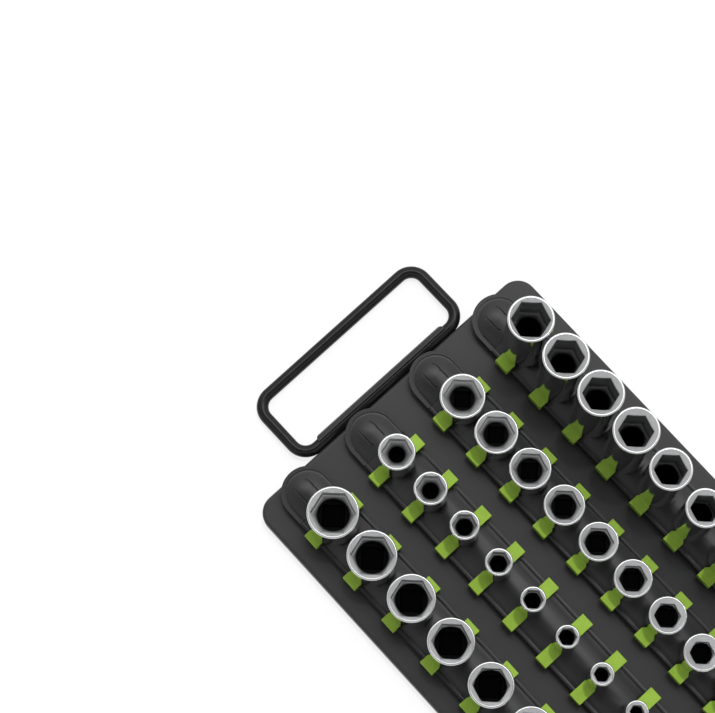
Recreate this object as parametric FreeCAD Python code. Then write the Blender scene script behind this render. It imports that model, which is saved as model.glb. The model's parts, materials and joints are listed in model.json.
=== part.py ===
import FreeCAD, Part
import math
import os

# Portable socket tray: a shallow pressed steel pan carries four clip rails side by side.
# Green clips slide on the rails, each with a black square stud that a socket is pushed onto,
# and a bent rod handle swings in a rolled hem at one end.
#
# +X runs along the rails, away from the handle. +Y runs from row a to row d. +Z is up.
# The origin is on the table, below the middle of the whole outline, handle included.
# All sizes are in millimetres.

V = FreeCAD.Vector
UP = V(0, 0, 1)
ALONG = V(1, 0, 0)
ACROSS = V(0, 1, 0)

# General
overrun = 1.0               # how far a cutting shape runs past the face that it cuts

# Pan
sheet = 1.2                 # steel thickness
pan_width = 207.0
pan_depth = 10.0            # from the top face down to the folded rim's edge
pan_corner = 11.5           # plan radius of the corners
pan_fold = 2.0              # outer radius of the fold at the top edge

# Rubber feet
foot_stand = 1.0            # how far the feet stand below the rim
foot_radius = 9.0
foot_inset = 14.0           # foot centre to the pan's edges
foot_chamfer = 1.2
foot_dimple = 4.0           # radius of the hollow under each foot
foot_dimple_depth = 0.5

# Rail section, heights above the pan's top face
outer_rail_inset = 29.4     # from the pan's edge to the middle of rail a or d
rail_gaps = 3
rail_spacing = (pan_width - 2 * outer_rail_inset) / rail_gaps
flange_half = 15.6
flange_under = 5.0
flange_top = 6.6
lip_top = 7.4
lip_width = 2.1
arch_gap = 0.6              # groove between the lip and the arch
arch_rise = 3.0
wall_outside = 11.8
wall_thick = 2.0
leg_half = 3.5              # half the middle leg, which takes the screws
skin = 1.8                  # thickness over the hollows

# End caps
cap_length = 26.0           # from the round end to the seam with the rail
cap_overhang = 1.5          # how far the round end stands past the pan
cap_seam = 0.1
plug_depth = 9.0
plug_clearance = 0.25
tongue_half = 4.7           # the two J-shaped grooves that free the snap tongue
tongue_start = 8.6          # from the round end
tongue_length = 12.0
hook_radius = 3.2           # each groove's inward hook, along its middle
hook_turn = 50.0
groove_width = 0.9
groove_depth = 1.3

# Clips
clip_half = 18.2            # half the clip's length across the rail
clip_clearance = 0.2
clip_roof = 1.6             # thickness over the rail's crown
hook_reach = 1.8
hook_thick = 1.0
seat_rise = 2.8             # how far the seat stands above the clip's arms
seat_slope = 2.0
seat_corner = 2.0
stud_clearance = 0.2        # between a stud's face and the socket
stud_turn = 45.0            # the studs stand corner to the rail
stud_chamfer = 0.8
tenon_share = 0.7           # the tenon that holds the stud in its clip, of the stud's side
tenon_depth = 2.6
ball_proud = 0.12           # how far a detent ball stands out of its stud
ball_fit = 0.05
spring_wall = 0.25
bore_depth_share = 0.75     # how deep a detent's bore goes, of the stud's side

# Stations
first_station = 35.7        # from a cap's round end to the first clip
station_pitch = 27.8
wide_pitch = 32.2           # for the larger sockets of row a

# Sockets
drive_roof = 1.5            # drive hole above the stud's top
edge_chamfer = 0.5          # round the mouth's outer edge
rim_width = 1.1             # from the outside to the lead-in cone, chamfer included
floor_slope = 31.0          # the cone between the hexagon and the round hole below it
base_chamfer = 0.8

# Rod handle and its hem
rod_radius = 3.5
rod_clearance = 0.15
handle_width = 123.0        # between the side arms' centre lines
handle_reach = 42.4         # from the hinge line to the outer bar
handle_bend = 10.0          # centre line radius of the corners
hem_length = 98.0
hem_drop = 4.75             # hinge line below the pan's top face
hem_lip_angle = 103.0       # where the curl ends, from the pan's side, over the top
hem_corner = 3.0
hem_relief = 1.5
handle_floor_gap = 0.2

# Screws
screw_radius = 1.95
screw_hole = 2.0
screw_length = 6.0          # above the pan's top face
screw_head_radius = 4.0
screw_head_height = 2.4
screw_slot_width = 1.0
screw_slot_depth = 1.2
screw_slot_share = 0.6      # half the slot's length, of the head's radius
screw_round_share = 0.33    # the head's rounding, of its height
screw_end_inset = 34.0      # from a rail's end to its first screw


class Row:
    """One rail with its clips and sockets.

    sockets is a list of (hex across flats, outside diameter, length); lead is how much farther
    along its rail the row starts than the first station."""

    def __init__(self, name, place, lead, pitch, drive, stud_height, clip_width, seat_half, boss_radius,
                 ball_radius, hex_depth, sockets):
        self.name = name
        self.y = place * rail_spacing
        self.lead = lead
        self.pitch = pitch
        self.drive = drive
        self.stud_height = stud_height
        self.clip_width = clip_width
        self.seat_half = seat_half
        self.boss_radius = boss_radius
        self.ball_radius = ball_radius
        self.hex_depth = hex_depth
        self.sockets = sockets


rows = [
    Row("a", -1.5, 1.8, wide_pitch, drive=12.7, stud_height=13.5, clip_width=9.8, seat_half=12.6,
        boss_radius=10.6, ball_radius=1.6, hex_depth=11.0,
        sockets=[(22.0, 29.3, 30.0), (21.0, 28.2, 30.0), (20.0, 27.2, 30.0), (19.0, 26.5, 30.0),
                 (18.0, 25.6, 30.0), (17.0, 24.8, 30.0), (16.0, 24.4, 30.0), (15.0, 24.4, 30.0)]),
    Row("b", -0.5, 0.5, station_pitch, drive=6.35, stud_height=7.5, clip_width=8.2, seat_half=6.4,
        boss_radius=5.0, ball_radius=0.9, hex_depth=10.0,
        sockets=[(15.0, 21.0, 27.5), (14.0, 19.1, 27.5), (12.0, 16.9, 27.5), (11.0, 15.7, 27.5),
                 (10.0, 14.5, 26.5), (9.0, 13.4, 25.5), (8.0, 13.4, 25.5), (7.0, 12.8, 25.5),
                 (6.0, 12.4, 25.5), (5.5, 12.0, 25.5)]),
    Row("c", 0.5, 1.4, station_pitch, drive=9.525, stud_height=10.0, clip_width=9.8, seat_half=12.0,
        boss_radius=8.4, ball_radius=1.2, hex_depth=8.0,
        sockets=[(19.0, 25.9, 21.0), (18.0, 24.9, 21.0), (17.0, 24.0, 21.0), (16.0, 23.5, 21.0),
                 (15.0, 22.6, 21.0), (14.0, 21.9, 21.0), (13.0, 21.4, 21.0), (12.0, 21.4, 21.0),
                 (11.0, 20.6, 21.0), (10.0, 20.0, 21.0)]),
    Row("d", 1.5, 0.9, station_pitch, drive=9.525, stud_height=10.0, clip_width=9.8, seat_half=12.0,
        boss_radius=8.4, ball_radius=1.2, hex_depth=30.0,
        sockets=[(19.0, 26.0, 72.0), (18.0, 26.0, 72.0), (17.5, 26.0, 72.0), (17.0, 26.0, 72.0),
                 (16.0, 23.8, 67.0), (14.0, 21.9, 62.0), (13.0, 21.4, 62.0), (12.0, 20.8, 62.0),
                 (11.0, 20.4, 62.0), (10.0, 20.0, 62.0)]),
]

# Worked out from the sizes above
longest = max(len(row.sockets) for row in rows if row.pitch == station_pitch)
rail_overall = 2 * first_station + (longest - 1) * station_pitch
pan_length = rail_overall - 2 * cap_overhang
pan_top = foot_stand + pan_depth
rim_edge = foot_stand
hinge_z = pan_top - hem_drop
hem_inner = rod_radius + rod_clearance
droop = math.degrees(math.asin((hinge_z - rod_radius - handle_floor_gap) / handle_reach))
handle_out = hem_inner + handle_reach * math.cos(math.radians(droop)) + rod_radius
pan_start = (handle_out - pan_length - cap_overhang) / 2
hinge_x = pan_start - hem_inner
rail_start = pan_start - cap_overhang
lip_inside = flange_half - lip_width
arch_half = lip_inside - arch_gap
crown = flange_top + arch_rise
arch_radius = (arch_half ** 2 + arch_rise ** 2) / (2 * arch_rise)
wall_inside = wall_outside - wall_thick
arm_top = pan_top + crown + clip_clearance + clip_roof
seat_top = arm_top + seat_rise


def arch_height(y, offset=0.0):
    """Height of the rail's arch above the pan at a distance y from its middle."""
    return crown - arch_radius + math.sqrt((arch_radius + offset) ** 2 - y ** 2)


def arch_width(height, offset=0.0):
    """Distance from the rail's middle where the arch has that height above the pan."""
    return math.sqrt((arch_radius + offset) ** 2 - (height - crown + arch_radius) ** 2)


def line(a, b):
    return Part.LineSegment(a, b).toShape()


def path_edges(points):
    """Straight edges through the points."""
    return [line(a, b) for a, b in zip(points, points[1:])]


def face_of(edges):
    return Part.Face(Part.Wire(edges))


def polygon(points):
    return face_of(path_edges(points + points[:1]))


def box(low, high):
    size = high - low
    return Part.makeBox(size.x, size.y, size.z, low)


def turned(shape, centre, axis, degrees):
    copy = shape.copy()
    copy.rotate(centre, axis, degrees)
    return copy


def moved(shape, by):
    copy = shape.copy()
    copy.translate(by)
    return copy


def rounded_outline(length, width, corner, z):
    """Rectangle with round corners, starting at x = 0, centred on y = 0."""
    half = width / 2
    flat = corner * (1 - math.cos(math.radians(45)))
    edges = []
    corners = [(length, half, 1, 1), (0, half, -1, 1), (0, -half, -1, -1), (length, -half, 1, -1)]
    ends = []
    for cx, cy, sx, sy in corners:
        along_end = V(cx - sx * corner, cy, z)
        across_end = V(cx, cy - sy * corner, z)
        middle = V(cx - sx * flat, cy - sy * flat, z)
        first, last = (across_end, along_end) if sx == sy else (along_end, across_end)
        edges.append(Part.Arc(first, middle, last).toShape())
        ends.append((first, last))
    straight = [line(ends[i][1], ends[(i + 1) % 4][0]) for i in range(4)]
    return Part.Wire(Part.__sortEdges__(edges + straight))


def rounded_block(length, width, corner, low, high, fold):
    """Block with round plan corners and a rounded top edge."""
    block = Part.Face(rounded_outline(length, width, corner, low)).extrude(V(0, 0, high - low))
    top_edges = [e for e in block.Edges if all(abs(v.Z - high) < fold / 2 for v in e.Vertexes)]
    return block.makeFillet(fold, top_edges)


# Pan, hem and feet
def hem():
    """The curl that holds the handle's rod, from the rim's foot, under the rod and over it."""
    inner, outer = hem_inner, hem_inner + sheet

    def at(radius, degrees):
        a = math.radians(degrees)
        return V(radius * math.cos(a), 0, radius * math.sin(a))

    end = hem_lip_angle - 360
    middle = end / 2
    section = face_of([
        Part.Arc(at(outer, 0), at(outer, middle), at(outer, end)).toShape(),
        line(at(outer, end), at(inner, end)),
        Part.Arc(at(inner, end), at(inner, middle), at(inner, 0)).toShape(),
        line(at(inner, 0), at(outer, 0)),
    ])
    curl = moved(section, V(hinge_x, -hem_length / 2, hinge_z)).extrude(ACROSS * hem_length)
    reach = 4 * outer
    trim = Part.Face(rounded_outline(reach, hem_length, hem_corner, hinge_z - reach / 2))
    trim = moved(trim.extrude(V(0, 0, reach)), V(hinge_x - outer, 0, 0))
    return curl.common(trim)


def screw_places():
    """Centres of the screws that hold the rails and caps down, on the pan's top face."""
    rail_end = rail_start + cap_length
    other_end = rail_start + rail_overall - cap_length
    along = [rail_start + flange_half, rail_end + screw_end_inset, (rail_end + other_end) / 2,
             other_end - screw_end_inset, rail_start + rail_overall - flange_half]
    return [V(x, row.y, pan_top) for row in rows for x in along]


def tray_plate():
    pan = rounded_block(pan_length, pan_width, pan_corner, rim_edge, pan_top, pan_fold)
    hollow = rounded_block(pan_length - 2 * sheet, pan_width - 2 * sheet, pan_corner - sheet,
                           rim_edge - overrun, pan_top - sheet, pan_fold - sheet)
    pan = pan.cut(moved(hollow, V(sheet, 0, 0)))
    pan = moved(pan, V(pan_start, 0, 0))
    gap_half = hem_length / 2 + hem_relief
    gap = box(V(pan_start - overrun, -gap_half, rim_edge - overrun),
              V(pan_start + sheet, gap_half, hinge_z))
    pan = pan.cut(gap).fuse(hem())
    holes = [Part.makeCylinder(screw_hole, sheet + 2 * overrun, p - UP * (sheet + overrun))
             for p in screw_places()]
    return pan.cut(Part.makeCompound(holes)).removeSplitter()


def rubber_foot(x, y):
    height = pan_top - sheet
    foot = Part.makeCylinder(foot_radius, height, V(x, y, 0))
    foot = foot.makeChamfer(foot_chamfer, [e for e in foot.Edges if e.BoundBox.ZMax < height / 2])
    return foot.cut(Part.makeCylinder(foot_dimple, foot_dimple_depth, V(x, y, 0)))


def rubber_feet():
    x_places = (pan_start + foot_inset, pan_start + pan_length - foot_inset)
    y_place = pan_width / 2 - foot_inset
    return [rubber_foot(x, y) for x in x_places for y in (-y_place, y_place)]


def screw(place):
    under = place - UP * sheet
    body = Part.makeCylinder(screw_radius, sheet + screw_length, under)
    head = Part.makeCylinder(screw_head_radius, screw_head_height, under - UP * screw_head_height)
    head = head.makeFillet(screw_head_height * screw_round_share, [e for e in head.Edges
                                                   if e.BoundBox.ZMax < under.z - screw_head_height / 2])
    low = under - UP * screw_head_height
    half, long_half = screw_slot_width / 2, screw_head_radius * screw_slot_share
    for dx, dy in ((long_half, half), (half, long_half)):
        head = head.cut(box(low - V(dx, dy, overrun), low + V(dx, dy, screw_slot_depth)))
    return body.fuse(head).removeSplitter()


# Rails and end caps
def section_points(side):
    """The rail's section on one side of its middle, from the leg's foot to the arch's edge."""
    ceiling = arch_height(leg_half) - skin
    ceiling_out = flange_top - skin
    points = [(leg_half, 0), (leg_half, ceiling), (wall_inside, ceiling_out), (wall_inside, 0),
              (wall_outside, 0), (wall_outside, flange_under), (flange_half, flange_under),
              (flange_half, lip_top), (lip_inside, lip_top), (lip_inside, flange_top),
              (arch_half, flange_top)]
    return [V(0, side * y, z) for y, z in points]


def rail_section():
    right, left = section_points(1), section_points(-1)
    arch = Part.Arc(right[-1], V(0, 0, crown), left[-1]).toShape()
    return face_of(path_edges(right) + [arch] + path_edges(left[::-1]) + [line(left[0], right[0])])


def half_section():
    """The section's right half, closed on the middle plane, to be turned into a round end."""
    right = section_points(1)
    half_angle_y = arch_half / 2
    arch = Part.Arc(right[-1], V(0, half_angle_y, arch_height(half_angle_y)), V(0, 0, crown)).toShape()
    foot = [V(0, 0, crown), V(0, 0, 0), right[0]]
    return face_of(path_edges(right) + [arch] + path_edges(foot))


def rail(row):
    length = rail_overall - 2 * cap_length
    body = rail_section().extrude(ALONG * length)
    body = moved(body, V(rail_start + cap_length, row.y, pan_top))
    holes = [Part.makeCylinder(screw_hole, screw_length + overrun, p - UP * overrun)
             for p in screw_places() if p.y == row.y]
    return body.cut(Part.makeCompound(holes))


def hollow_section(clearance):
    """The two hollows beside the middle leg, each taken in by a clearance."""
    faces = []
    for side in (1, -1):
        inner, outer = leg_half + clearance, wall_inside - clearance
        points = [(inner, clearance), (outer, clearance), (outer, flange_top - skin - clearance),
                  (inner, arch_height(leg_half) - skin - 2 * clearance)]
        faces.append(polygon([V(0, side * y, z) for y, z in points]))
    return faces


def j_groove():
    """One groove of the snap tongue, seen from above: a short inward hook, then a straight run."""
    height = overrun + groove_depth
    inner, outer = hook_radius - groove_width / 2, hook_radius + groove_width / 2
    hook_length = hook_radius * math.sin(math.radians(hook_turn))
    hook = Part.makeCylinder(outer, height, V(0, 0, 0), UP, hook_turn)
    hook = hook.cut(Part.makeCylinder(inner, height))
    hook = moved(turned(hook, V(0, 0, 0), UP, 90), V(0, tongue_half - hook_radius, 0))
    run = box(V(0, tongue_half - groove_width / 2, 0),
              V(tongue_length - hook_length, tongue_half + groove_width / 2, height))
    return moved(hook.fuse(run), V(hook_length - tongue_length / 2, 0, 0))


def cap_grooves():
    """Both grooves as one cutting shape round the tongue's middle."""
    one = j_groove()
    both = Part.makeCompound([one, turned(one, V(0, 0, 0), UP, 180)])
    middle = tongue_start + tongue_length / 2 - flange_half
    return moved(both, V(middle, 0, arch_height(tongue_half) - groove_depth))


def end_cap(row, far):
    """Cap at the handle's end; the far one is the same part turned round."""
    straight = cap_length - flange_half - cap_seam
    body = rail_section().extrude(ALONG * straight)
    body = body.fuse(half_section().revolve(V(0, 0, 0), UP, 180))
    for fill, plug in zip(hollow_section(0), hollow_section(plug_clearance)):
        body = body.fuse(fill.extrude(ALONG * straight))
        body = body.fuse(plug.extrude(ALONG * (straight + cap_seam + plug_depth)))
    body = body.cut(cap_grooves())
    body = body.cut(Part.makeCylinder(screw_hole, screw_length + overrun, V(0, 0, -overrun)))
    if far:
        body = turned(body, V(0, 0, 0), UP, 180)
        return moved(body, V(rail_start + rail_overall - flange_half, row.y, pan_top))
    return moved(body, V(rail_start + flange_half, row.y, pan_top))


# Clips, detents and sockets
def station_x(row, i):
    return rail_start + first_station + row.lead + i * row.pitch


def stations(row):
    return [V(station_x(row, i), row.y, 0) for i in range(len(row.sockets))]


def stud_side(row):
    return row.drive - 2 * stud_clearance


def clip_saddle(row):
    """The clip's arms: an arched bar over the rail with a hook round each flange."""
    c = clip_clearance
    inside, under, over = flange_half + c, flange_under - c, lip_top + c
    bow = arch_width(over, c)
    top = crown + c + clip_roof
    tip = flange_half - hook_reach
    right = [(bow, over), (inside, over), (inside, under), (tip, under), (tip, under - hook_thick),
             (clip_half, under - hook_thick), (clip_half, top)]
    right = [V(0, y, z) for y, z in right]
    left = [V(0, -p.y, p.z) for p in right[::-1]]
    arch = Part.Arc(left[-1], V(0, 0, crown + c), right[0]).toShape()
    section = face_of(path_edges(right + left) + [arch])
    return moved(section.extrude(ALONG * row.clip_width), V(-row.clip_width / 2, 0, pan_top))


def clip_seat(row):
    """The raised block that the socket stands on, sloping up from the clip's arms."""
    low, foot, top = arm_top - clip_roof / 2, row.seat_half, row.seat_half - seat_slope
    section = polygon([V(0, -foot, low), V(0, foot, low), V(0, foot, arm_top), V(0, top, seat_top),
                       V(0, -top, seat_top), V(0, -foot, arm_top)])
    return moved(section.extrude(ALONG * row.clip_width), V(-row.clip_width / 2, 0, 0))


def clip_neck_cuts(row):
    """What is cut away beside the neck, which leaves each arm with two chamfered inner corners."""
    half, foot = row.clip_width / 2, row.seat_half
    neck, past = half - seat_corner, half + overrun
    cuts = []
    for sx in (-1, 1):
        for sy in (-1, 1):
            plan = [(half, foot), (neck, foot - seat_corner), (neck, 0), (past, 0), (past, foot)]
            plan = polygon([V(sx * x, sy * y, pan_top) for x, y in plan])
            cuts.append(plan.extrude(V(0, 0, seat_top - pan_top + overrun)))
    return Part.makeCompound(cuts)


def clip_boss(row):
    """The round boss under the socket, round the seat's middle."""
    low = arm_top - clip_roof / 2
    return Part.makeCylinder(row.boss_radius, seat_top - low, V(0, 0, low))


def square_post(side, height, z):
    return box(V(-side / 2, -side / 2, z), V(side / 2, side / 2, z + height))


def ball_height(row):
    return seat_top + row.stud_height / 2


def detent_bore(row):
    """Blind hole in one face of the stud, before the stud is turned."""
    depth = stud_side(row) * bore_depth_share
    return Part.makeCylinder(row.ball_radius + ball_fit, depth + overrun,
                             V(stud_side(row) / 2 - depth, 0, ball_height(row)), ALONG)


def stud(row):
    """The square post that a socket is pushed onto, with a tenon set down into the clip."""
    top = seat_top + row.stud_height
    post = square_post(stud_side(row), row.stud_height, seat_top)
    top_edges = [e for e in post.Edges if e.BoundBox.ZMin > top - stud_chamfer / 2]
    post = post.makeChamfer(stud_chamfer, top_edges).cut(detent_bore(row)).fuse(tenon(row))
    return turned(post.removeSplitter(), V(0, 0, 0), UP, stud_turn)


def tenon(row):
    return square_post(stud_side(row) * tenon_share, tenon_depth, seat_top - tenon_depth)


def clip(row):
    base = clip_saddle(row).fuse(clip_seat(row)).cut(clip_neck_cuts(row)).fuse(clip_boss(row))
    pocket = turned(tenon(row), V(0, 0, 0), UP, stud_turn)
    return base.removeSplitter().cut(pocket)


def detent_ball(row):
    centre = V(stud_side(row) / 2 + ball_proud - row.ball_radius, 0, ball_height(row))
    return turned(Part.makeSphere(row.ball_radius, centre), V(0, 0, 0), UP, stud_turn)


def detent_spring(row):
    """The coil behind the ball, as a plain sleeve of its outer and inner size."""
    start = -stud_side(row) / 4
    length = stud_side(row) / 2 + ball_proud - row.ball_radius - start
    centre = V(start, 0, ball_height(row))
    sleeve = Part.makeCylinder(row.ball_radius, length, centre, ALONG)
    sleeve = sleeve.cut(Part.makeCylinder(row.ball_radius - spring_wall, length, centre, ALONG))
    ball_room = V(stud_side(row) / 2 + ball_proud - row.ball_radius, 0, ball_height(row))
    sleeve = sleeve.cut(Part.makeSphere(row.ball_radius, ball_room))
    return turned(sleeve, V(0, 0, 0), UP, stud_turn)


def hexagon(flats, z):
    """Hexagon with one pair of corners on the x axis, square to the drive hole's side."""
    radius = flats / math.sqrt(3)
    return polygon([V(radius * math.cos(math.radians(60 * k)), radius * math.sin(math.radians(60 * k)), z)
                    for k in range(6)])


def socket_mouth(row, flats, outside, top):
    """The hexagon with its wide lead-in cone above and a cone down to the round hole below."""
    corner = flats / math.sqrt(3)
    hole = relief_radius(row, flats)
    drop = (corner - hole) * math.tan(math.radians(floor_slope))
    low = top - row.hex_depth
    straight = hexagon(flats, low + drop).extrude(V(0, 0, row.hex_depth - drop + overrun))
    floor_cone = Part.makeCone(hole, corner, drop, V(0, 0, low))
    floor = hexagon(flats, low).extrude(V(0, 0, drop)).common(floor_cone)
    wide, narrow = outside / 2 - rim_width, flats / 2
    lead = Part.makeCone(narrow, wide, wide - narrow, V(0, 0, top - wide + narrow))
    return straight.fuse(floor).fuse(lead)


def relief_radius(row, flats):
    """The round hole between the hexagon and the drive hole."""
    return min(flats / 2, row.drive * math.sqrt(2) / 2)


def socket(row, flats, outside, length):
    """A socket on its seat: square drive hole below, hexagon above, a round hole between."""
    radius = outside / 2
    top = seat_top + length
    outline = [(0, seat_top), (radius - base_chamfer, seat_top), (radius, seat_top + base_chamfer),
               (radius, top - edge_chamfer), (radius - edge_chamfer, top), (0, top)]
    body = polygon([V(r, 0, z) for r, z in outline]).revolve(V(0, 0, 0), UP, 360)
    drive_depth = row.stud_height + drive_roof
    drive = square_post(row.drive, drive_depth + overrun, seat_top - overrun)
    relief = Part.makeCylinder(relief_radius(row, flats), length - drive_depth,
                               V(0, 0, seat_top + drive_depth))
    body = body.cut(Part.makeCompound([socket_mouth(row, flats, outside, top), drive])).cut(relief)
    return turned(body, V(0, 0, 0), UP, stud_turn)


# Handle
def carry_handle():
    """A closed loop of round rod, made flat from its hinge line and then let down to the table."""
    half, bend, reach = handle_width / 2, handle_bend, handle_reach
    flat = bend * (1 - math.cos(math.radians(45)))
    corners = [(0, half, -1, -1), (-reach, half, 1, -1), (-reach, -half, 1, 1), (0, -half, -1, 1)]
    rod = None
    for k, (cx, cy, sx, sy) in enumerate(corners):
        ends = [V(cx, cy + sy * bend, 0), V(cx + sx * bend, cy, 0)]
        if k % 2:
            ends.reverse()
        elbow = Part.Arc(ends[0], V(cx + sx * flat, cy + sy * flat, 0), ends[1])
        following = corners[(k + 1) % 4]
        start = ends[1]
        if k % 2:
            stop = V(following[0], following[1] + following[3] * bend, 0)
        else:
            stop = V(following[0] + following[2] * bend, following[1], 0)
        bar = Part.makeCylinder(rod_radius, (stop - start).Length, start, stop - start)
        ring = Part.Wire(Part.Circle(ends[0], elbow.tangent(elbow.FirstParameter)[0], rod_radius).toShape())
        corner = Part.Wire(elbow.toShape()).makePipe(Part.Face(ring))
        rod = corner.fuse(bar) if rod is None else rod.fuse(corner).fuse(bar)
    rod = turned(rod.removeSplitter(), V(0, 0, 0), ACROSS, -droop)
    return moved(rod, V(hinge_x, 0, hinge_z))


def build():
    """Every node by name, each a list of solids."""
    nodes = {
        "tray_plate": [tray_plate()],
        "rubber_feet": rubber_feet(),
        "rail_screws": [screw(p) for p in screw_places()],
        "carry_handle": [carry_handle()],
        "end_caps_handle_end": [end_cap(row, False) for row in rows],
        "end_caps_far_end": [end_cap(row, True) for row in rows],
    }
    for row in rows:
        places = stations(row)
        nodes["rail_" + row.name] = [rail(row)]
        for name, pieces in (("clips_", [clip(row)]), ("studs_", [stud(row)]),
                             ("detents_", [detent_ball(row), detent_spring(row)])):
            nodes[name + row.name] = [moved(piece, place) for piece in pieces for place in places]
        for i, (place, (flats, outside, length)) in enumerate(zip(places, row.sockets)):
            nodes["socket_%s%d" % (row.name, i + 1)] = [moved(socket(row, flats, outside, length), place)]
    return nodes


def main():
    os.makedirs("parts", exist_ok=True)
    for name, solids in build().items():
        shape = solids[0] if len(solids) == 1 else Part.makeCompound(solids)
        shape.exportStep("parts/%s.step" % name)
        print(name, len(shape.Solids), "valid" if shape.isValid() else "NOT VALID", round(shape.Volume, 1))


if __name__ == "__main__":
    main()
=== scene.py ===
"""Looks of the socket tray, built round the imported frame.

Lengths are in metres. +X runs along the rails, away from the handle, +Y from row a to row d.
"""
import json
import math

import bmesh
import bpy
from mathutils import Matrix, Vector

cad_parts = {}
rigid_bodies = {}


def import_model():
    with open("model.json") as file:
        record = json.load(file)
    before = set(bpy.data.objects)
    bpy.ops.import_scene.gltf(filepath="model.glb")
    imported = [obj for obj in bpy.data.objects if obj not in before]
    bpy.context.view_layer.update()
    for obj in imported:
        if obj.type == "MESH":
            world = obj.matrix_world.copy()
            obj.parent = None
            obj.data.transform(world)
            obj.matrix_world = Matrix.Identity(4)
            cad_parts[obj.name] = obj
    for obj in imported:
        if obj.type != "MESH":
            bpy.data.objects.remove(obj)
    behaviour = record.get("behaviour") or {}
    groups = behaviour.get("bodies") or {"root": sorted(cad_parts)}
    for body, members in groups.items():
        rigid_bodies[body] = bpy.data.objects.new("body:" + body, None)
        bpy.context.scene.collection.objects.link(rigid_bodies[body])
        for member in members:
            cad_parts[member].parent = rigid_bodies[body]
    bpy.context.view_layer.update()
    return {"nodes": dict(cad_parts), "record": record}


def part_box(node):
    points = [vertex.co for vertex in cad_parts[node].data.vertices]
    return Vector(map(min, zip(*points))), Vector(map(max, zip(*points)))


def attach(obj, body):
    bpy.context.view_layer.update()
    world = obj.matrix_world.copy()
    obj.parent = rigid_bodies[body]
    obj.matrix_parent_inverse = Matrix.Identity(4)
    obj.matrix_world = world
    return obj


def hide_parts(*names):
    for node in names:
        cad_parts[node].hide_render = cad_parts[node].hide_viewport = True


for leftover in list(bpy.data.objects):
    bpy.data.objects.remove(leftover)
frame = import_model()

MM = 0.001
ROWS = "abcd"

# Sockets: what the frame doesn't say
HEX_SIZES = {
    "a": (22.0, 21.0, 20.0, 19.0, 18.0, 17.0, 16.0, 15.0),
    "b": (15.0, 14.0, 12.0, 11.0, 10.0, 9.0, 8.0, 7.0, 6.0, 5.5),
    "c": (19.0, 18.0, 17.0, 16.0, 15.0, 14.0, 13.0, 12.0, 11.0, 10.0),
    "d": (19.0, 18.0, 17.5, 17.0, 16.0, 14.0, 13.0, 12.0, 11.0, 10.0),
}
HEX_DEPTHS = {"a": 11.0 * MM, "b": 10.0 * MM, "c": 8.0 * MM, "d": 30.0 * MM}
DRIVES = {"a": 12.7 * MM, "b": 6.35 * MM, "c": 9.525 * MM, "d": 9.525 * MM}
DRIVE_DEPTHS = {"a": 15.0 * MM, "b": 9.0 * MM, "c": 11.5 * MM, "d": 11.5 * MM}
SOCKET_SIDES = 96
SOCKET_TURN = math.radians(45)      # the squares stand corner to the rail
EDGE_CHAMFER = 0.5 * MM
RIM_WIDTH = 1.1 * MM                # from the outside to the lead-in cone
FLOOR_SLOPE = math.radians(31)      # cone below the hexagon
BASE_CHAMFER = 0.8 * MM
SOFT_EDGE = 0.18 * MM               # how far a socket's edges are rounded
SOCKET_CREASE = math.radians(28)    # a socket's sharper edges stay sharp

# A socket's surface: how much painted shade darkens it, and how satin its finish is, each from 0 to 1
UNSHADED, FULL_SHADE = 0.0, 1.0
POLISHED, SATIN = 0.0, 1.0
# The hexagon's wall: (share of its depth, how much painted shade)
SHORT_WALL_SHADE = ((0.0, 0.0), (0.3, 0.15), (1.0, 0.45))
DEEP_WALL_SHADE = ((0.0, 0.7), (0.25, 0.8), (0.55, 0.35), (1.0, 0.5))
WALL_SHADE = {"a": SHORT_WALL_SHADE, "b": SHORT_WALL_SHADE, "c": SHORT_WALL_SHADE, "d": DEEP_WALL_SHADE}
# Painted shade on the lead-in cone, on its edge and at the round hole below the hexagon
CONE_SHADE = 0.05                    # the lead-in cone
CONE_EDGE_SHADE = 0.15               # its edge on the hexagon
HOLE_SHADE = 0.98                    # the edge of the round hole below the hexagon

# Edges of the other pieces
PAN_ROUNDING = 0.25 * MM
CAP_ROUNDING = 0.18 * MM
FOOT_ROUNDING = 0.3 * MM
SCREW_ROUNDING = 0.12 * MM
RAIL_ROUNDING = 0.2 * MM
CLIP_ROUNDING = 0.3 * MM
STUD_ROUNDING = 0.2 * MM
ROUNDING_STEPS = 2
ROUNDED_FROM = math.radians(32)     # sharper edges are rounded
SAME_POINT = 0.002 * MM
SAME_PLANE = math.radians(0.6)

# Sky: ramps of (place, brightness), by height and from the dark side round to the bright side
SKY_SIDE = (-0.55, 0.835, 0.0)      # towards the bright side
SKY_HEIGHT = ((0.0, 0.4), (0.25, 0.65), (0.5, 1.2), (0.80, 1.05), (0.96, 0.36), (1.0, 0.28))
SKY_AROUND = ((0.0, 0.75), (0.25, 0.9), (0.5, 0.8), (0.7, 1.1), (1.0, 1.8))
PANEL_HEIGHT = ((0.80, 0.0), (0.92, 1.0))
PANEL_AROUND = ((0.54, 0.0), (0.58, 0.15), (0.61, 0.45), (0.66, 1.0), (0.72, 1.0), (0.80, 0.0))
PANEL_LEVEL = 4.8

# Key lamp and floor
KEY_PLACE = (-0.46, 0.97, 5.0)
KEY_AIM = (0.0, 0.0, 0.0)
KEY_SIZE = 0.15
KEY_POWER = 102.0
FLOOR_HALF = 3.0
FLOOR_PAINT = (0.93, 0.93, 0.93, 1.0)
FLOOR_GLOW = 0.8                    # share of plain white in what the camera and reflections see

# Camera: straight-down product view, fitted to the photo's rims, rails, plate and handle
CAMERA_PLACE = Vector((0.0660, -0.1830, 1.5270))
CAMERA_AIM = Vector((-0.1601, -0.0007, 0.0220))
CAMERA_UP = Vector((-0.7239, 0.6635, 0.1891))
CAMERA_LENS = 134.68
CAMERA_SENSOR = 36.0
CAMERA_CLIP = (0.05, 20.0)


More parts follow.
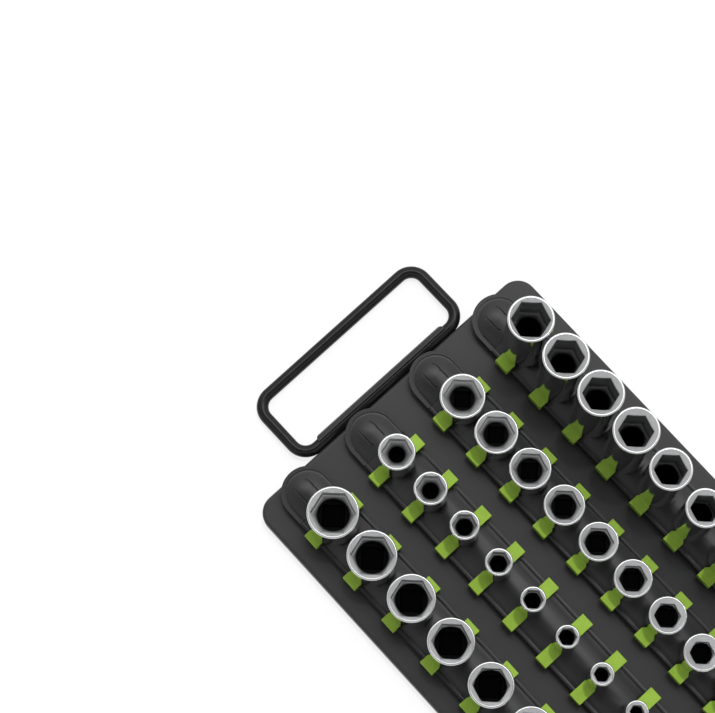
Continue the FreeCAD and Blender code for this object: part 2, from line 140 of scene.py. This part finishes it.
class Nodes:
    """Adds and joins the shader nodes of a material or a world."""

    def __init__(self, owner):
        self.owner = owner
        owner.use_nodes = True
        self.tree = owner.node_tree
        self.tree.nodes.clear()

    def add(self, kind, **settings):
        """A node with these settings; those that it doesn't have are values of its inputs."""
        node = self.tree.nodes.new(kind)
        for key, value in settings.items():
            if hasattr(node, key):
                setattr(node, key, value)
            else:
                node.inputs[key].default_value = value
        return node

    def join(self, source, target):
        self.tree.links.new(source, target)

    def place(self):
        """The point on the object, in metres."""
        return self.add("ShaderNodeTexCoord").outputs["Object"]

    def noise(self, size, detail=3.0, vector=None):
        """Noise whose blotches are about that many metres across."""
        node = self.add("ShaderNodeTexNoise", Scale=1.0 / size, Detail=detail)
        self.join(vector or self.place(), node.inputs["Vector"])
        return node.outputs["Fac"]

    def spread(self, value, low, high, start=0.3, end=0.7):
        """Value from start to end, mapped to low and high."""
        node = self.add("ShaderNodeMapRange")
        for key, number in (("From Min", start), ("From Max", end), ("To Min", low), ("To Max", high)):
            node.inputs[key].default_value = number
        self.join(value, node.inputs["Value"])
        return node.outputs["Result"]

    def blend(self, value, first, second):
        """Colour between first and second; either may be a socket."""
        node = self.add("ShaderNodeMix", data_type="RGBA")
        self.join(value, node.inputs["Factor"])
        for slot, colour in (("A", first), ("B", second)):
            socket = next(s for s in node.inputs if s.name == slot and s.type == "RGBA")
            if isinstance(colour, tuple):
                socket.default_value = (*colour, 1.0)
            else:
                self.join(colour, socket)
        return next(s for s in node.outputs if s.type == "RGBA")

    def bump(self, height, depth, strength):
        node = self.add("ShaderNodeBump", Strength=strength, Distance=depth)
        self.join(height, node.inputs["Height"])
        return node.outputs["Normal"]

    def calculate(self, operation, *values):
        """The result of a math node; each value is a number or a socket."""
        node = self.add("ShaderNodeMath", operation=operation)
        for slot, value in zip(node.inputs, values):
            if isinstance(value, float):
                slot.default_value = value
            else:
                self.join(value, slot)
        return node.outputs[0]

    def mix(self, share, first, second, output):
        """Joins two shaders, mixed by the share of the second, to the output node."""
        node = self.add("ShaderNodeMixShader")
        for source, slot in zip((share, first.outputs[0], second.outputs[0]), node.inputs):
            self.join(source, slot)
        self.join(node.outputs[0], self.add(output).inputs["Surface"])

    def finish(self, colour, roughness, normal, metal=None, **uniform):
        """The material: what varies is joined to its shader, and what is uniform is set on it."""
        shader = self.add("ShaderNodeBsdfPrincipled")
        for key, value in uniform.items():
            shader.inputs[key.replace("_", " ")].default_value = value
        self.join(colour, shader.inputs["Base Color"])
        self.join(roughness, shader.inputs["Roughness"])
        self.join(normal, shader.inputs["Normal"])
        if metal is not None:
            self.join(metal, shader.inputs["Metallic"])
        output = self.add("ShaderNodeOutputMaterial")
        self.join(shader.outputs["BSDF"], output.inputs["Surface"])
        return self.owner


# Materials
def powder_coat():
    """Black powder coat on sheet steel: fine orange peel and a faint cloudiness."""
    n = Nodes(bpy.data.materials.new("powder_coat"))
    cloud = n.noise(45 * MM)
    peel = n.noise(0.55 * MM, 2.0)
    colour = n.blend(n.spread(cloud, 0.0, 1.0), (0.017, 0.017, 0.0172), (0.020, 0.020, 0.0202))
    roughness = n.spread(cloud, 0.36, 0.40)
    normal = n.bump(peel, 0.05 * MM, 0.35)
    return n.finish(colour, roughness, normal, Specular_IOR_Level=0.42)


def gloss_coat():
    """Gloss black coat on the handle's rod, with long shallow ripples."""
    n = Nodes(bpy.data.materials.new("gloss_coat"))
    ripple = n.noise(6 * MM, 2.0)
    colour = n.blend(n.spread(ripple, 0.0, 1.0), (0.005, 0.005, 0.0055), (0.009, 0.009, 0.0095))
    roughness = n.spread(n.noise(1.2 * MM), 0.13, 0.19)
    normal = n.bump(ripple, 0.12 * MM, 0.3)
    return n.finish(colour, roughness, normal, Specular_IOR_Level=0.24)


def rail_plastic():
    """Satin black moulded plastic with fine spark-eroded grain."""
    n = Nodes(bpy.data.materials.new("rail_plastic"))
    grain = n.noise(0.35 * MM, 2.0)
    flow = n.noise(18 * MM, 2.0)
    colour = n.blend(n.spread(flow, 0.0, 1.0), (0.008, 0.008, 0.0082), (0.011, 0.011, 0.0112))
    roughness = n.spread(flow, 0.29, 0.35)
    normal = n.bump(grain, 0.03 * MM, 0.3)
    return n.finish(colour, roughness, normal, Specular_IOR_Level=0.44)


def stud_plastic_painted_shade():
    """Dull black moulding of the studs, painted darker than black plastic as painted shade at the bottom
    of a bore.
    """
    n = Nodes(bpy.data.materials.new("stud_plastic_painted_shade"))
    grain = n.noise(0.4 * MM, 2.0)
    # Painted shade: near-black, darker than the plastic itself, so the stud reads as the shaded bottom
    # of a bore
    colour = n.blend(n.spread(grain, 0.0, 1.0), (0.0008, 0.0008, 0.0008), (0.0016, 0.0016, 0.0016))
    roughness = n.spread(grain, 0.75, 0.9)
    normal = n.bump(grain, 0.03 * MM, 0.3)
    return n.finish(colour, roughness, normal, Specular_IOR_Level=0.01)


def clip_plastic():
    """Bright green moulded plastic, a little deeper in the shade of its flow lines."""
    n = Nodes(bpy.data.materials.new("clip_plastic"))
    flow = n.noise(5 * MM, 3.0)
    grain = n.noise(0.4 * MM, 2.0)
    colour = n.blend(n.spread(flow, 0.0, 1.0), (0.238, 0.382, 0.044), (0.266, 0.425, 0.050))
    roughness = n.spread(grain, 0.42, 0.52)
    normal = n.bump(grain, 0.03 * MM, 0.35)
    return n.finish(colour, roughness, normal, Specular_IOR_Level=0.15)


def socket_chrome():
    """Polished chrome outside and satin in the mouth, with painted shade that darkens the mouth and bore
    towards black.
    """
    n = Nodes(bpy.data.materials.new("socket_chrome"))
    painted_shade = n.add("ShaderNodeAttribute", attribute_name="painted_shade").outputs["Fac"]
    smear = n.noise(7 * MM, 4.0)
    bright = n.blend(n.spread(smear, 0.0, 1.0), (0.76, 0.77, 0.78), (0.82, 0.825, 0.83))
    # Painted shade: the colour goes towards black where the rings mark the mouth and bore as shaded
    colour = n.blend(painted_shade, bright, (0.002, 0.002, 0.002))
    satin = n.add("ShaderNodeAttribute", attribute_name="satin").outputs["Fac"]
    roughness = n.calculate("MULTIPLY_ADD", satin, 0.25, n.spread(smear, 0.05, 0.10))
    roughness = n.calculate("MULTIPLY_ADD", painted_shade, 0.45, roughness)
    metal = n.spread(satin, 1.0, 0.8, 0.0, 1.0)
    turned = n.add("ShaderNodeAttribute", attribute_name="turned").outputs["Vector"]
    normal = n.bump(n.noise(0.35 * MM, 2.0, turned), 0.004 * MM, 0.25)
    return n.finish(colour, roughness, normal, metal)


def zinc_steel():
    """Bright zinc on the screws, balls and springs."""
    n = Nodes(bpy.data.materials.new("zinc_steel"))
    smear = n.noise(1.5 * MM)
    colour = n.blend(n.spread(smear, 0.0, 1.0), (0.50, 0.50, 0.52), (0.62, 0.62, 0.62))
    roughness = n.spread(smear, 0.26, 0.40)
    normal = n.bump(n.noise(0.2 * MM), 0.01 * MM, 0.3)
    return n.finish(colour, roughness, normal, Metallic=1.0)


def foot_rubber():
    """Dull black rubber with a little dust."""
    n = Nodes(bpy.data.materials.new("foot_rubber"))
    dust = n.noise(2.5 * MM, 4.0)
    colour = n.blend(n.spread(dust, 0.0, 1.0), (0.018, 0.018, 0.018), (0.036, 0.035, 0.034))
    roughness = n.spread(dust, 0.74, 0.90)
    normal = n.bump(n.noise(0.3 * MM), 0.04 * MM, 0.5)
    return n.finish(colour, roughness, normal)


MATERIALS = {
    "black_sheet": powder_coat(),
    "black_rod": gloss_coat(),
    "black_plastic": rail_plastic(),
    "green_plastic": clip_plastic(),
    "chrome": socket_chrome(),
    "steel": zinc_steel(),
    "rubber": foot_rubber(),
}
STUD_PAINTED_SHADE = stud_plastic_painted_shade()
SLOTS = {entry["node"]: entry["material_slot"] for entry in frame["record"]["subparts"]}
BODIES = {node: body for body, nodes in frame["record"]["behaviour"]["bodies"].items() for node in nodes}


# Pieces
def new_object(name, data):
    """An object with that data, in the scene."""
    piece = bpy.data.objects.new(name, data)
    bpy.context.scene.collection.objects.link(piece)
    return piece


def dress(piece, node, stands_in=True):
    """Gives a piece its node's material and, if it stands in for the node, its body, and hides the node.
    """
    slot = SLOTS[node]
    piece.data.materials.clear()
    # The studs take the near-black colour that stands as painted shade at a bore's bottom
    piece.data.materials.append(STUD_PAINTED_SHADE if node.startswith("studs") else MATERIALS[slot])
    if stands_in:
        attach(piece, BODIES[node])
        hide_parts(node)
    return piece


def rounded(node, name, width, flat=False):
    """The node's own shape with its edges rounded, in its place.

    flat keeps the shading of a large face even."""
    mesh = frame["nodes"][node].data.copy()
    bm = bmesh.new()
    bm.from_mesh(mesh)
    bmesh.ops.remove_doubles(bm, verts=bm.verts, dist=SAME_POINT)
    bmesh.ops.dissolve_limit(bm, angle_limit=SAME_PLANE, verts=bm.verts, edges=bm.edges)
    bm.to_mesh(mesh)
    bm.free()
    piece = new_object(name, mesh)
    bevel = piece.modifiers.new("rounded_edges", "BEVEL")
    bevel.width = width
    bevel.segments = ROUNDING_STEPS
    bevel.limit_method = "ANGLE"
    bevel.angle_limit = ROUNDED_FROM
    bevel.use_clamp_overlap = True
    bevel.harden_normals = not flat
    mesh.shade_smooth()
    if flat:
        even = piece.modifiers.new("even_normals", "WEIGHTED_NORMAL")
        even.mode = "FACE_AREA"
        even.weight = 100
    return dress(piece, node)


def polygon_radius(apothem, sides, angle, turn):
    """Distance from the middle to a regular polygon's side, in the direction of angle."""
    step = 2 * math.pi / sides
    off = (angle - turn + step / 2) % step - step / 2
    return apothem / math.cos(off)


def socket_rings(row, size, radius, low, high):
    """Rings of the socket's surface, from the base's drive hole round the outside and down the mouth.

    Each ring is a function of the angle that gives (radius, height), and how much painted shade darkens
    it and how satin its finish is."""
    drive, drive_top = DRIVES[row] / 2, low + DRIVE_DEPTHS[row]
    flat = size * MM / 2
    floor = high - HEX_DEPTHS[row]
    hole = min(flat, drive * math.sqrt(2))
    wide = radius - RIM_WIDTH
    soft = SOFT_EDGE

    def circle(r, z):
        return lambda angle: (r, z)

    def square(grow, z):
        return lambda angle: (polygon_radius(drive, 4, angle, SOCKET_TURN) + grow, z)

    def hexagon(angle):
        return polygon_radius(flat, 6, angle, SOCKET_TURN + math.pi / 2)

    def lead(above, below):
        """The edge between the lead-in cone and the hexagon, a little up the cone or down the wall."""
        return lambda angle: (min(hexagon(angle) + above, wide),
                              high - wide + min(hexagon(angle) + above, wide) - below)

    def seat(above, inward):
        """The edge between the hexagon and the cone below it."""
        def point(angle):
            r = hexagon(angle) - inward
            return max(r, hole), floor + max(r - hole, 0.0) * math.tan(FLOOR_SLOPE) + above
        return point

    def wall(share):
        """A line that far down the hexagon's wall."""
        def point(angle):
            top, bottom = lead(0.0, 2 * soft)(angle), seat(2 * soft, 0.0)(angle)
            return top[0], top[1] * (1 - share) + bottom[1] * share
        return point

    outside = [(low, radius - BASE_CHAMFER), (low + BASE_CHAMFER, radius), (high - EDGE_CHAMFER, radius),
               (high, radius - EDGE_CHAMFER), (high, wide), (high - soft, wide - soft)]
    seat_shade = WALL_SHADE[row][-1][1]
    # Painted shade: the drive hole and the bore below the hexagon are painted black, and the mouth's
    # cone and wall are darkened step by step
    rings = [(square(0.0, drive_top), FULL_SHADE, SATIN),
             (square(0.0, low + soft), FULL_SHADE, SATIN),
             (square(soft, low), UNSHADED, POLISHED)]
    rings += [(circle(r, z), UNSHADED, POLISHED) for z, r in softened(outside)[:-1]]
    rings += [(circle(wide - soft, high - soft), CONE_SHADE, SATIN),
              (lead(2 * soft, 0.0), CONE_SHADE, SATIN),
              (lead(0.6 * soft, 0.3 * soft), CONE_EDGE_SHADE, SATIN)]
    rings += [(wall(share), shade, SATIN) for share, shade in WALL_SHADE[row]]
    rings += [(seat(0.3 * soft, 0.6 * soft), seat_shade, SATIN),
              (seat(0.0, 2 * soft), seat_shade, SATIN),
              (circle(hole + soft, floor + soft / 2), HOLE_SHADE, SATIN),
              (circle(hole, floor - soft), FULL_SHADE, SATIN),
              (circle(hole, drive_top), FULL_SHADE, SATIN)]
    return rings


def softened(points):
    """The outline's points with each inner corner cut to a small round of three points."""
    result = [points[0]]
    for before, here, after in zip(points, points[1:], points[2:]):
        b, h, a = Vector(before), Vector(here), Vector(after)
        reach = min(SOFT_EDGE, (b - h).length / 3, (a - h).length / 3)
        start, end = h + (b - h).normalized() * reach, h + (a - h).normalized() * reach
        middle = (start + end + h * 2) / 4
        result += [tuple(start), tuple(middle), tuple(end)]
    return result + [points[-1]]


def ring_mesh(name, centre, rings, sides):
    """Closed skin through the rings, the last joined to the first."""
    bm = bmesh.new()
    # Each vertex carries its ring's painted shade, which the chrome turns into darkness
    painted_shade = bm.verts.layers.float.new("painted_shade")
    satin = bm.verts.layers.float.new("satin")
    turned = bm.verts.layers.float_vector.new("turned")
    loops = []
    for point_at, shade, dull in rings:
        loop = []
        for k in range(sides):
            angle = 2 * math.pi * k / sides
            r, z = point_at(angle)
            vert = bm.verts.new((centre.x + r * math.cos(angle), centre.y + r * math.sin(angle), z))
            vert[painted_shade] = shade
            vert[satin] = dull
            vert[turned] = (r, z, 0.0)
            loop.append(vert)
        loops.append(loop)
    for inner, outer in zip(loops, loops[1:] + loops[:1]):
        for k in range(sides):
            following = (k + 1) % sides
            bm.faces.new((inner[k], outer[k], outer[following], inner[following]))
    bmesh.ops.remove_doubles(bm, verts=bm.verts, dist=SAME_POINT)
    bmesh.ops.recalc_face_normals(bm, faces=bm.faces)
    mesh = bpy.data.meshes.new(name)
    bm.to_mesh(mesh)
    bm.free()
    return mesh


def socket(row, index):
    """A socket with its hexagon, cones and drive hole, in its node's place."""
    node = "socket_%s%d" % (row, index + 1)
    low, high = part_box(node)
    centre = (low + high) / 2
    rings = socket_rings(row, HEX_SIZES[row][index], (high.x - low.x) / 2, low.z, high.z)
    mesh = ring_mesh(node, centre, rings, SOCKET_SIDES)
    piece = new_object("shown_" + node, mesh)
    mesh.shade_smooth()
    mesh.set_sharp_from_angle(angle=SOCKET_CREASE)
    even = piece.modifiers.new("even_normals", "WEIGHTED_NORMAL")
    even.keep_sharp = True
    return dress(piece, node)


def dress_frame():
    """Every sub-part of the tray; the handle and the detents are shown as they are in the frame."""
    rounded("tray_plate", "pan", PAN_ROUNDING, flat=True)
    rounded("end_caps_handle_end", "caps_by_handle", CAP_ROUNDING, flat=True)
    rounded("end_caps_far_end", "caps_far", CAP_ROUNDING, flat=True)
    rounded("rubber_feet", "feet", FOOT_ROUNDING)
    rounded("rail_screws", "screws", SCREW_ROUNDING)
    dress(frame["nodes"]["carry_handle"], "carry_handle", stands_in=False)
    frame["nodes"]["carry_handle"].data.shade_smooth()
    for row in ROWS:
        rounded("rail_" + row, "rail_body_" + row, RAIL_ROUNDING)
        rounded("clips_" + row, "clip_bodies_" + row, CLIP_ROUNDING)
        rounded("studs_" + row, "stud_posts_" + row, STUD_ROUNDING)
        dress(frame["nodes"]["detents_" + row], "detents_" + row, stands_in=False)
        for index in range(len(HEX_SIZES[row])):
            socket(row, index)


# Floor, light and camera
def floor():
    """Pale studio floor that reads white to the camera and still takes a soft shadow."""
    bm = bmesh.new()
    bmesh.ops.create_grid(bm, x_segments=1, y_segments=1, size=FLOOR_HALF)
    mesh = bpy.data.meshes.new("floor")
    bm.to_mesh(mesh)
    bm.free()
    n = Nodes(bpy.data.materials.new("studio_floor"))
    path = n.add("ShaderNodeLightPath")
    seen = n.calculate("MAXIMUM", path.outputs["Is Camera Ray"], path.outputs["Is Glossy Ray"])
    share = n.calculate("MULTIPLY", seen, FLOOR_GLOW)
    paint = n.add("ShaderNodeBsdfDiffuse", Color=FLOOR_PAINT)
    n.mix(share, paint, n.add("ShaderNodeEmission"), "ShaderNodeOutputMaterial")
    mesh.materials.append(n.owner)
    piece = new_object("floor", mesh)


def sky():
    """Soft light from above that fades towards the horizon, with one wide bright panel near the top."""
    world = bpy.data.worlds.new("studio")
    bpy.context.scene.world = world
    n = Nodes(world)

    def ramp(value, stops):
        node = n.add("ShaderNodeValToRGB")
        node.color_ramp.elements[0].position = stops[0][0]
        node.color_ramp.elements[1].position = stops[-1][0]
        for position, _ in stops[1:-1]:
            node.color_ramp.elements.new(position)
        for element, (_, level) in zip(node.color_ramp.elements, stops):
            element.color = (level, level, level, 1.0)
        n.join(value, node.inputs[0])
        return node.outputs[0]

    direction = n.add("ShaderNodeTexCoord").outputs["Generated"]
    split = n.add("ShaderNodeSeparateXYZ")
    n.join(direction, split.inputs[0])
    height = split.outputs["Z"]
    side = n.add("ShaderNodeVectorMath", operation="DOT_PRODUCT")
    side.inputs[1].default_value = SKY_SIDE
    n.join(direction, side.inputs[0])
    around = n.calculate("MULTIPLY_ADD", side.outputs["Value"], 0.5, 0.5)
    dome = n.calculate("MULTIPLY", ramp(height, SKY_HEIGHT), ramp(around, SKY_AROUND))
    panel = n.calculate("MULTIPLY", ramp(height, PANEL_HEIGHT), ramp(around, PANEL_AROUND))
    light = n.add("ShaderNodeBackground")
    n.join(n.calculate("MULTIPLY_ADD", panel, PANEL_LEVEL, dome), light.inputs["Strength"])
    seen = n.add("ShaderNodeLightPath").outputs["Is Camera Ray"]
    n.mix(seen, light, n.add("ShaderNodeBackground"), "ShaderNodeOutputWorld")


def key_lamp():
    """The one lamp: a small disc high up beyond row d and the handle, which isn't seen in the chrome."""
    data = bpy.data.lights.new("key", "AREA")
    data.shape = "DISK"
    data.size = KEY_SIZE
    data.energy = KEY_POWER
    piece = new_object("key", data)
    piece.location = KEY_PLACE
    piece.rotation_mode = "QUATERNION"
    piece.rotation_quaternion = (Vector(KEY_AIM) - Vector(KEY_PLACE)).to_track_quat("-Z", "Y")
    piece.visible_glossy = False


def camera():
    """The photo's view."""
    data = bpy.data.cameras.new("camera")
    data.lens = CAMERA_LENS
    data.sensor_width = CAMERA_SENSOR
    data.clip_start, data.clip_end = CAMERA_CLIP
    piece = new_object("camera", data)
    back = (CAMERA_PLACE - CAMERA_AIM).normalized()
    right = CAMERA_UP.cross(back).normalized()
    up = back.cross(right)
    turn = Matrix((right, up, back)).transposed().to_4x4()
    piece.matrix_world = Matrix.Translation(CAMERA_PLACE) @ turn
    bpy.context.scene.camera = piece


dress_frame()
floor()
sky()
key_lamp()
camera()
bpy.context.scene.view_settings.view_transform = "Standard"
